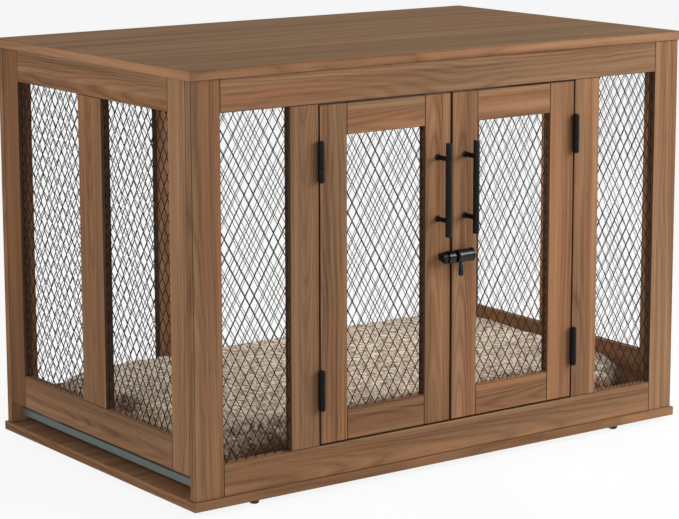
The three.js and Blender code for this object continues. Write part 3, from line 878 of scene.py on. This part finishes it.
# Bolt: a round rod with a lever that hangs down from it.
def makeBolt():
    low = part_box("latch_bolt")[0]
    axisY, axisZ, _ = latchAxis()
    r, length = latch["boltRadius"], latch["boltLength"]
    shaft = rounded([(0, 0), (r, 0), (r, length), (0, length)], latch["boltEdge"])
    rod = turned(shaft, (low.x, axisY, axisZ), (1, 0, 0))
    drop = axisZ - low.z
    neck, top, knob = latch["leverNeck"], latch["leverTop"], latch["leverKnob"]
    outline = [(0, 0), (neck, 0), (neck, top)]
    outline += [(share * knob, top + below) for share, below in latch["knobTop"]]
    outline += [(share * knob, drop - above) for share, above in latch["knobTip"]]
    lever = rounded(outline + [(0, drop)], latch["leverEdge"])
    root = (low.x + latch["leverFromNose"], axisY, axisZ)
    handle = turned(lever, root, (0, 0, -1), sides=latch["leverSides"])
    addPiece("bolt_and_lever", [rod, handle], glossBlack, "bolt", "latch_bolt")


# Keeper: a dome at its closed end, a groove, and a sleeve that the bolt slides into.
def makeKeeper():
    low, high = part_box("latch_keeper")
    axisY, axisZ, _ = latchAxis()
    length = high.x - low.x
    radius, domeLength, bulge = latch["domeRadius"], latch["domeLength"], latch["domeBulge"]
    barrel, groove, edge = latch["barrelRadius"], latch["keeperGroove"], latch["keeperEdge"]
    turn = np.linspace(latch["domeStart"], math.pi / 2, latch["domeRings"])
    outline = [(radius * math.sin(t), bulge * (1 - math.cos(t))) for t in turn]
    outline = np.array(outline + [
        (radius, domeLength - latch["domeEdge"]),
        (radius - groove, domeLength),
        (radius - groove, domeLength + groove),
        (barrel, domeLength + groove + latch["domeEdge"]),
        (barrel, length - edge),
        (barrel - edge, length),
    ])
    solid = outline[outline[:, 1] <= domeLength + 1e-9]
    dome = np.vstack([[(0, 0)], solid, [(0, domeLength)]])
    cover = turned(dome, (low.x, axisY, axisZ), (1, 0, 0))
    rings = np.linspace(0, length, latch["keeperRings"])
    along = np.unique(np.concatenate([outline[:, 1], rings]))
    along = along[along >= domeLength - latch["sleeveSetIn"]]
    sleeve = slottedTube(profileAt(outline, along), along, (low.x, axisY, axisZ))
    shells = [cover, sleeve, saddle(low, high, latch["keeperSaddle"])]
    addPiece("bolt_keeper", shells, glossBlack, "left_door", "latch_keeper")


makeBarrel()
makeBolt()
makeKeeper()
print("latch made")


# ---- feet: turned glides with a rounded tread
feet = {
    "treadShare": 0.8,  # of the radius, at the floor
    "widestShare": 0.35,  # of the height, where the foot is widest
    "topShare": 0.96,  # of the radius, at the top
    "edge": 0.0015,
}


def makeFeet():
    for place in ("front_left", "front_right", "back_left", "back_right"):
        low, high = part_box("foot_" + place)
        radius, height = (high.x - low.x) / 2, high.z - low.z
        outline = rounded([
            (0, 0),
            (radius * feet["treadShare"], 0),
            (radius, height * feet["widestShare"]),
            (radius * feet["topShare"], height),
            (0, height),
        ], feet["edge"])
        centre = ((low.x + high.x) / 2, (low.y + high.y) / 2, low.z)
        glide = turned(outline, centre, (0, 0, 1))
        addPiece("glide_" + place, [glide], footBlack, "crate", "foot_" + place)


makeFeet()
print("feet made")


# ---- cushion: a plush pad, blown up by a cloth simulation, then covered with rosettes
cushion = {
    "startInset": 0.007,
    "startHeight": 0.046,
    "startRim": 0.02,
    "underside": (0.24, 0.12, 0.05),  # how far in its rings lie
    "crown": ((0.05, 1.02), (0.12, 1.04), (0.24, 1.05)),  # how far in, and share of the height
    "corner": 9,
    "sides": 160,
    "rimRings": 9,
    "voxel": 0.0055,
    "pressure": 4,
    "quality": 5,
    "stiffness": 12,
    "bending": 1.5,
    "frames": 20,
    "cap": 0.014,  # the most that the pressure may move a point
    "rosette": 0.0102,
    "rosetteHeight": 0.0042,
    "reach": 0.66,  # shares of a rosette's size
    "shake": 0.3,
    "dimple": 0.0008,
    "dimpleRadius": 0.0022,
    "lump": 0.0014,
    # noise layers of the plush: features per metre along X, Y and Z
    "fluff": (620, 620, 620),
    "curl": (118, 52, 150),
    "clump": (160, 70, 200),
    "patch": (38, 38, 38),
    "furBump": 0.0022,
    "base": tint(216, 195, 168),
    # painted highlight on the raised curls
    "tip": tint(252, 243, 228),
    # the fibres' dark roots, and painted shade in the hollows and crevices between the curls
    "warm": tint(196, 150, 112),
    "root": tint(84, 56, 34),
    # painted shade with brown bounce light from the wood, on the cushion's sides
    "side": tint(186, 122, 70),
}


# Start shape: superellipses from the middle of the underside out over the rounded rim to the
# crown, each ring drawn in by its inset.
def cushionStart(low, high):
    halfX = (high.x - low.x) / 2 - cushion["startInset"]
    halfY = (high.y - low.y) / 2 - cushion["startInset"]
    centreX, centreY = (low.x + high.x) / 2, (low.y + high.y) / 2
    x, y = superellipse(cushion["corner"], cushion["sides"])
    rim, tall = cushion["startRim"], cushion["startHeight"]
    rings = [(inset, 0.0) for inset in cushion["underside"]]
    for t in np.linspace(-0.5, 0.5, cushion["rimRings"]) * math.pi:
        rings.append((rim * (1 - math.cos(t)), tall / 2 * (1 + math.sin(t))))
    rings += [(inset, tall * share) for inset, share in cushion["crown"]]
    points = []
    for inset, height in rings:
        level = np.full(len(x), low.z + height)
        ring = [centreX + (halfX - inset) * x, centreY + (halfY - inset) * y, level]
        points.append(np.stack(ring, -1))
    points, faces = grid(np.array(points), capped=True)
    mesh = bpy.data.meshes.new("plush_cushion")
    mesh.from_pydata(points.tolist(), [], faces)
    return mesh


def perVertex(mesh, key):
    values = np.empty(len(mesh.vertices) * 3, np.float32)
    mesh.vertices.foreach_get(key, values)
    return values.reshape(-1, 3)


def setPoints(mesh, points):
    mesh.vertices.foreach_set("co", points.astype(np.float32).ravel())
    mesh.update()


def applyModifiers(piece):
    evaluated = piece.evaluated_get(bpy.context.evaluated_depsgraph_get())
    mesh = bpy.data.meshes.new_from_object(evaluated)
    piece.modifiers.clear()
    piece.data = mesh


# Cloth under pressure from inside. No point ends up farther than the cap from where it started.
def inflate(piece):
    cloth = piece.modifiers.new("cloth", "CLOTH")
    cloth.settings.use_pressure = True
    cloth.settings.uniform_pressure_force = cushion["pressure"]
    cloth.settings.effector_weights.gravity = 0
    cloth.settings.quality = cushion["quality"]
    cloth.settings.tension_stiffness = cushion["stiffness"]
    cloth.settings.compression_stiffness = cushion["stiffness"]
    cloth.settings.bending_stiffness = cushion["bending"]
    cloth.point_cache.frame_end = cushion["frames"]
    start = perVertex(piece.data, "co").astype(float)
    for step in range(1, cushion["frames"] + 1):
        bpy.context.scene.frame_set(step)
    evaluated = piece.evaluated_get(bpy.context.evaluated_depsgraph_get())
    mesh = evaluated.to_mesh()
    end = perVertex(mesh, "co").astype(float)
    evaluated.to_mesh_clear()
    piece.modifiers.clear()
    bpy.context.scene.frame_set(1)
    move = end - start
    length = np.linalg.norm(move, axis=1, keepdims=True)
    setPoints(piece.data, start + move * np.minimum(1, cushion["cap"] / np.maximum(length, 1e-9)))


# Numbers from -0.5 to 0.5 that look random, from the whole numbers a and b.
def scatter(a, b, turn):
    return np.modf(np.abs(np.sin(a * turn[0] + b * turn[1]) * turn[2]))[0] - 0.5


# Rosette height at plane points: the distance d to the nearest middle of a shaken triangle lattice
# gives a ball sqrt(1 - (d / reach)^2) with a dimple exp(-(d / dimpleRadius)^2) in it.
def rosettes(u, v):
    size = cushion["rosette"]
    shake, reach = cushion["shake"] * size, cushion["reach"] * size
    rowHeight = size * math.sqrt(3) / 2
    row = np.round(v / rowHeight)
    nearest = np.full(u.shape, 1e9)
    for dr in (-1, 0, 1):
        r = row + dr
        column = np.round(u / size - 0.5 * (r % 2))
        for dc in (-1, 0, 1):
            c = column + dc
            aside = scatter(c, r, (12.9898, 78.233, 43758.5453))
            along = scatter(c, r, (39.3461, 11.135, 24634.6345))
            middleU = (c + 0.5 * (r % 2)) * size + shake * aside
            middleV = r * rowHeight + shake * along
            nearest = np.minimum(nearest, np.hypot(u - middleU, v - middleV))
    ball = np.sqrt(np.clip(1 - (nearest / reach) ** 2, 0, 1))
    dimple = np.exp(-((nearest / cushion["dimpleRadius"]) ** 2))
    return ball * cushion["rosetteHeight"] - dimple * cushion["dimple"]


# Uneven lumps about 15 mm wide over the plane, from -1 to 1.
def lumps(u, v):
    return np.sin(u * 410 + 3 * np.sin(v * 260)) * np.sin(v * 370 + 3 * np.sin(u * 290))


# Plush: curls with dark winding lines between them, pale where they stand out. The dark crevices and
# hollows are painted shade, the pale raised curls a painted highlight.
def makePlush():
    finish = Finish("plush")
    tuft = finish.node("ShaderNodeAttribute", {"attribute_name": "tuft"})[2]
    fluff = finish.noise(cushion["fluff"], detail=3.0, roughness=0.6)
    curl = finish.noise(cushion["curl"], detail=1.5)
    clump = finish.noise(cushion["clump"], (4.1, 2.3, 7.9), detail=2.0)
    patch = finish.noise(cushion["patch"], detail=2.0).within(0.42, 0.68)
    crevice = (curl - 0.5).math("ABSOLUTE").within(0.0, 0.062)  # 0 along the winding lines
    raised = tuft * 0.15 + crevice * 0.4 + clump.within(0.36, 0.64) * 0.45
    colour = finish.mix(cushion["base"], cushion["warm"], patch * 0.45)
    # painted shade in the hollows and crevices, painted highlight on the raised curls
    colour = finish.mix(cushion["root"], colour, raised.within(0.1, 0.75))
    colour = finish.mix(colour, cushion["tip"], raised.within(0.65, 1.0) * 0.9)
    colour = finish.mix(colour, cushion["root"], fluff.within(0.52, 0.78) * 0.3)
    facing = finish.node("ShaderNodeSeparateXYZ", {}, {0: finish.normal})
    # sides turned away from the top are painted brown: painted shade with the wood's bounce light
    colour = finish.mix(cushion["side"], colour, facing[2].within(-0.1, 0.7) * 0.55 + 0.45)
    return finish.surface(
        Base_Color=colour,
        Roughness=fluff * 0.1 + 0.85,
        Normal=finish.bump(fluff * 0.5 + clump + crevice * 0.5, cushion["furBump"]),
        Sheen_Weight=0.25,
        Sheen_Roughness=0.5,
        Specular_IOR_Level=0.1,
    )


def makeCushion():
    low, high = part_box("cushion")
    piece = bpy.data.objects.new("plush_cushion", cushionStart(low, high))
    bpy.context.scene.collection.objects.link(piece)
    remesh = piece.modifiers.new("remesh", "REMESH")
    remesh.mode = "VOXEL"
    remesh.voxel_size = cushion["voxel"]
    applyModifiers(piece)
    inflate(piece)
    smooth = piece.modifiers.new("subdivision", "SUBSURF")
    smooth.levels = smooth.render_levels = 1
    applyModifiers(piece)
    mesh = piece.data
    points = perVertex(mesh, "co").astype(float)
    normals = perVertex(mesh, "normal")
    weights = np.abs(normals) ** 6  # of the three planes that the rosettes are drawn on
    weights /= weights.sum(1, keepdims=True)
    x, y, z = points.T
    overX, overY, overZ = weights.T
    tufts = overZ * rosettes(x, y) + overY * rosettes(x, z) + overX * rosettes(y, z)
    rise = tufts + cushion["lump"] * lumps(x, y) * (tufts > 0)
    points = points + normals * rise[:, None]
    setPoints(mesh, np.clip(points, np.array(low), np.array(high)))
    attribute = mesh.attributes.new("tuft", "FLOAT", "POINT")
    share = tufts / (cushion["rosetteHeight"] - cushion["dimple"])
    attribute.data.foreach_set("value", np.clip(share, 0, 1).astype(np.float32))
    mesh.shade_smooth()
    mesh.materials.clear()
    mesh.materials.append(makePlush())
    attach(piece, "cushion")
    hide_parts("cushion")
    print("cushion:", len(mesh.polygons), "faces")


makeCushion()


# ---- floor, backdrop and lights
studio = {
    "floorColour": (0.86, 0.86, 0.86, 1),
    "floorSpeck": (0.9, 0.9, 0.9, 1),
    "floorGlow": 0.86,  # share of the floor that shows plain white, so that a soft shadow is left
    "floorWhite": 1.03,
    "floorReach": 40,
    "world": 0.36,
    "key": {"place": (1.9, -1.5, 1.2), "aim": (0.35, -0.25, 0.35), "size": 1.6, "watts": 55},
    "fill": {"place": (-2.2, -0.3, 1.05), "aim": (-0.47, -0.1, 0.35), "size": 1.4, "watts": 16},
    "cabin": {"place": (0.12, 0.04, 0.63), "aim": (0.12, 0.04, 0), "size": 0.4, "watts": 1.8},
    "glint": {"place": (-0.9, -2.3, 1.9), "aim": (0, -0.29, 0.34), "size": 0.4, "watts": 60},
}


# 1 on rays from the camera, in a reflection or through something clear, else 0
def seenDirectly(tree):
    path = tree.node("ShaderNodeLightPath")
    toCamera, glossy, transmitted = path[0], path[3], path[6]
    return toCamera.math("MAXIMUM", glossy).math("MAXIMUM", transmitted)


def makeFloor():
    finish = Finish("pale_floor")
    speck = finish.noise((3, 3, 3), detail=2.0)
    colour = finish.mix(studio["floorColour"], studio["floorSpeck"], speck)
    plain = finish.node("ShaderNodeBsdfDiffuse", {}, {0: colour})[0]
    glow = finish.node("ShaderNodeEmission", {}, {0: (1, 1, 1, 1), 1: studio["floorWhite"]})[0]
    share = seenDirectly(finish) * studio["floorGlow"]
    mixed = finish.node("ShaderNodeMixShader", {}, {0: share, 1: plain, 2: glow})[0]
    finish.node("ShaderNodeOutputMaterial", {}, {0: mixed})
    mesh = bpy.data.meshes.new("floor")
    reach = studio["floorReach"]
    corners = [(x * reach, y * reach, 0) for x, y in ((-1, -1), (1, -1), (1, 1), (-1, 1))]
    mesh.from_pydata(corners, [], [(0, 1, 2, 3)])
    mesh.materials.append(finish.material)
    floor = bpy.data.objects.new("floor", mesh)
    bpy.context.scene.collection.objects.link(floor)


# World: dim as a light, white where it is seen directly.
def makeWorld():
    world = bpy.data.worlds.new("studio")
    bpy.context.scene.world = world
    tree = Tree(world)
    soft = tree.node("ShaderNodeBackground", {}, {1: studio["world"]})[0]
    white = tree.node("ShaderNodeBackground", {}, {1: 1.0})[0]
    both = tree.node("ShaderNodeMixShader", {}, {0: seenDirectly(tree), 1: soft, 2: white})[0]
    tree.node("ShaderNodeOutputWorld", {}, {0: both})


def makeLamps():
    for name in ("key", "fill", "cabin", "glint"):
        values = studio[name]
        data = bpy.data.lights.new(name, "AREA")
        data.shape = "DISK"
        data.size = values["size"]
        data.energy = values["watts"]
        lamp = bpy.data.objects.new(name, data)
        lamp.location = values["place"]
        lamp.visible_camera = False
        lamp.visible_diffuse = name != "glint"  # it only puts highlights on the polished latch
        aim = Vector(values["aim"]) - Vector(values["place"])
        lamp.rotation_euler = aim.to_track_quat("-Z", "Y").to_euler()
        bpy.context.scene.collection.objects.link(lamp)


makeFloor()
makeWorld()
makeLamps()
bpy.context.scene.view_settings.view_transform = "Standard"
print("floor and lights set")
